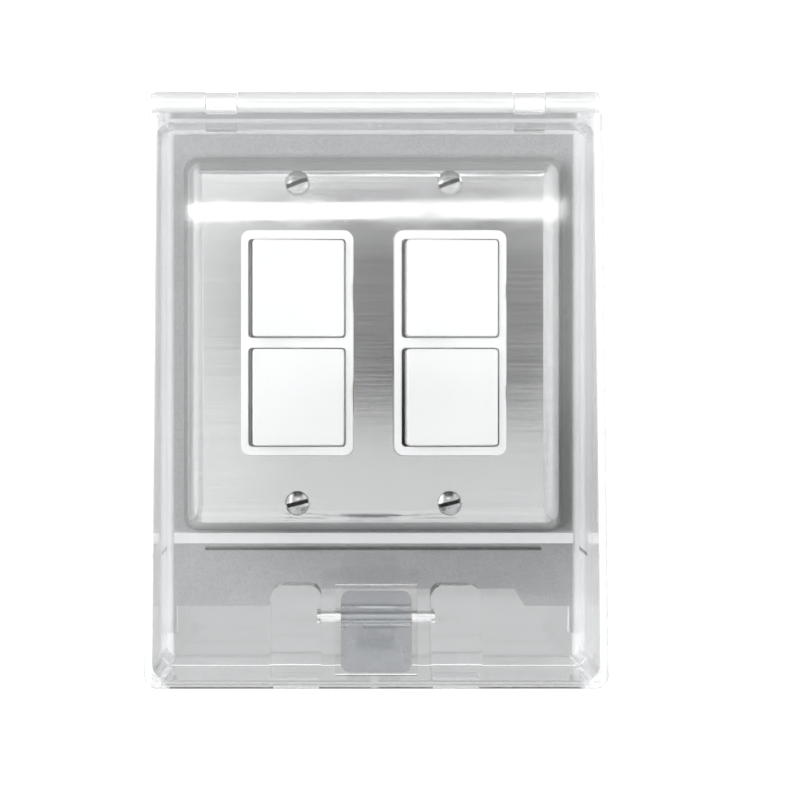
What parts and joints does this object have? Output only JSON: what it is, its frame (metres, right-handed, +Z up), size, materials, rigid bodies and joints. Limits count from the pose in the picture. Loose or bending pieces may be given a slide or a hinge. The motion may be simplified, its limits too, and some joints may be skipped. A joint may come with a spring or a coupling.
{
  "type": "weatherproof two-gang switch station",
  "caption": "Two-gang wall switch station: stacked rocker switches in a brushed stainless wall plate under a clear, hinged and latched weatherproof cover.",
  "frame": {"origin": "centre of the four box screws, on the rear face of the foam seal (the wall plane)", "axes": "+Z up, +Y into the wall along the box screws, so the cover faces -Y; +X to the right as seen from the front"},
  "size_m": [0.131, 0.076, 0.1688],
  "materials": {
    "clear_polycarbonate": "water-clear moulded polycarbonate, glossy",
    "latch_plastic": "slightly smoky clear polycarbonate, glossy",
    "foam_seal": "closed-cell foam, matte",
    "brushed_stainless": "horizontally brushed stainless sheet",
    "screw_steel": "bright slotted screw heads",
    "pin_steel": "polished steel pin",
    "clear_pin": "clear plastic pin",
    "zinc_steel": "zinc-plated steel",
    "white_plastic": "smooth white moulded plastic, satin gloss",
    "housing_plastic": "moulded thermoplastic housing, matte",
    "brass": "stamped brass",
    "green_screw": "green-dyed zinc plate",
    "spring_steel": "drawn spring wire"
  },
  "bodies": {
    "root": {"box_screws": "zinc_steel", "cover_base": "clear_polycarbonate", "hinge_pin_left": "clear_pin", "hinge_pin_right": "clear_pin", "left_ground_screw": "green_screw", "left_line_bus": "brass", "left_load_terminals": "brass", "left_switch_body": "housing_plastic", "left_switch_frame": "white_plastic", "left_switch_strap": "zinc_steel", "left_terminal_screws": "zinc_steel", "plate_screws": "screw_steel", "right_ground_screw": "green_screw", "right_line_bus": "brass", "right_load_terminals": "brass", "right_switch_body": "housing_plastic", "right_switch_frame": "white_plastic", "right_switch_strap": "zinc_steel", "right_terminal_screws": "zinc_steel", "wall_gasket": "foam_seal", "wall_plate": "brushed_stainless"},
    "lid": {"cover_lid": "clear_polycarbonate", "latch_pin": "pin_steel"},
    "latch": {"latch_lever": "latch_plastic"},
    "left_upper_paddle": {"left_upper_paddle": "white_plastic", "left_upper_rocker_spring": "spring_steel"},
    "left_upper_rocker": {"left_upper_contact_rocker": "brass"},
    "left_lower_paddle": {"left_lower_paddle": "white_plastic", "left_lower_rocker_spring": "spring_steel"},
    "left_lower_rocker": {"left_lower_contact_rocker": "brass"},
    "right_upper_paddle": {"right_upper_paddle": "white_plastic", "right_upper_rocker_spring": "spring_steel"},
    "right_upper_rocker": {"right_upper_contact_rocker": "brass"},
    "right_lower_paddle": {"right_lower_paddle": "white_plastic", "right_lower_rocker_spring": "spring_steel"},
    "right_lower_rocker": {"right_lower_contact_rocker": "brass"}
  },
  "joints": [
    {"name": "lid_hinge", "type": "hinge", "parent": "root", "child": "lid", "pos_m": [0, -0.0369, 0.0671], "axis": [-1, 0, 0], "range_deg": [0, 105]},
    {"name": "latch_pivot", "type": "hinge", "parent": "lid", "child": "latch", "pos_m": [0, -0.0463, -0.0765], "axis": [1, 0, 0], "range_deg": [0, 22], "stiffness_Nm_per_rad": 0.02, "springref_deg": -4.58},
    {"name": "left_upper_paddle_tilt", "type": "hinge", "parent": "root", "child": "left_upper_paddle", "pos_m": [-0.02302, -0.009, 0.01634], "axis": [0, 0, 1], "range_deg": [-9, 0]},
    {"name": "left_upper_contact_tilt", "type": "hinge", "parent": "root", "child": "left_upper_rocker", "pos_m": [-0.02302, 0.0075, 0.01634], "axis": [0, 0, 1], "range_deg": [0, 12]},
    {"name": "left_lower_paddle_tilt", "type": "hinge", "parent": "root", "child": "left_lower_paddle", "pos_m": [-0.02302, -0.009, -0.01634], "axis": [0, 0, 1], "range_deg": [-9, 0]},
    {"name": "left_lower_contact_tilt", "type": "hinge", "parent": "root", "child": "left_lower_rocker", "pos_m": [-0.02302, 0.0075, -0.01634], "axis": [0, 0, 1], "range_deg": [0, 12]},
    {"name": "right_upper_paddle_tilt", "type": "hinge", "parent": "root", "child": "right_upper_paddle", "pos_m": [0.02302, -0.009, 0.01634], "axis": [0, 0, 1], "range_deg": [-9, 0]},
    {"name": "right_upper_contact_tilt", "type": "hinge", "parent": "root", "child": "right_upper_rocker", "pos_m": [0.02302, 0.0075, 0.01634], "axis": [0, 0, 1], "range_deg": [0, 12]},
    {"name": "right_lower_paddle_tilt", "type": "hinge", "parent": "root", "child": "right_lower_paddle", "pos_m": [0.02302, -0.009, -0.01634], "axis": [0, 0, 1], "range_deg": [-9, 0]},
    {"name": "right_lower_contact_tilt", "type": "hinge", "parent": "root", "child": "right_lower_rocker", "pos_m": [0.02302, 0.0075, -0.01634], "axis": [0, 0, 1], "range_deg": [0, 12]}
  ],
  "couplings": [
    {"joint": "left_upper_contact_tilt", "follows": "left_upper_paddle_tilt", "ratio": -1.3333},
    {"joint": "left_lower_contact_tilt", "follows": "left_lower_paddle_tilt", "ratio": -1.3333},
    {"joint": "right_upper_contact_tilt", "follows": "right_upper_paddle_tilt", "ratio": -1.3333},
    {"joint": "right_lower_contact_tilt", "follows": "right_lower_paddle_tilt", "ratio": -1.3333}
  ]
}
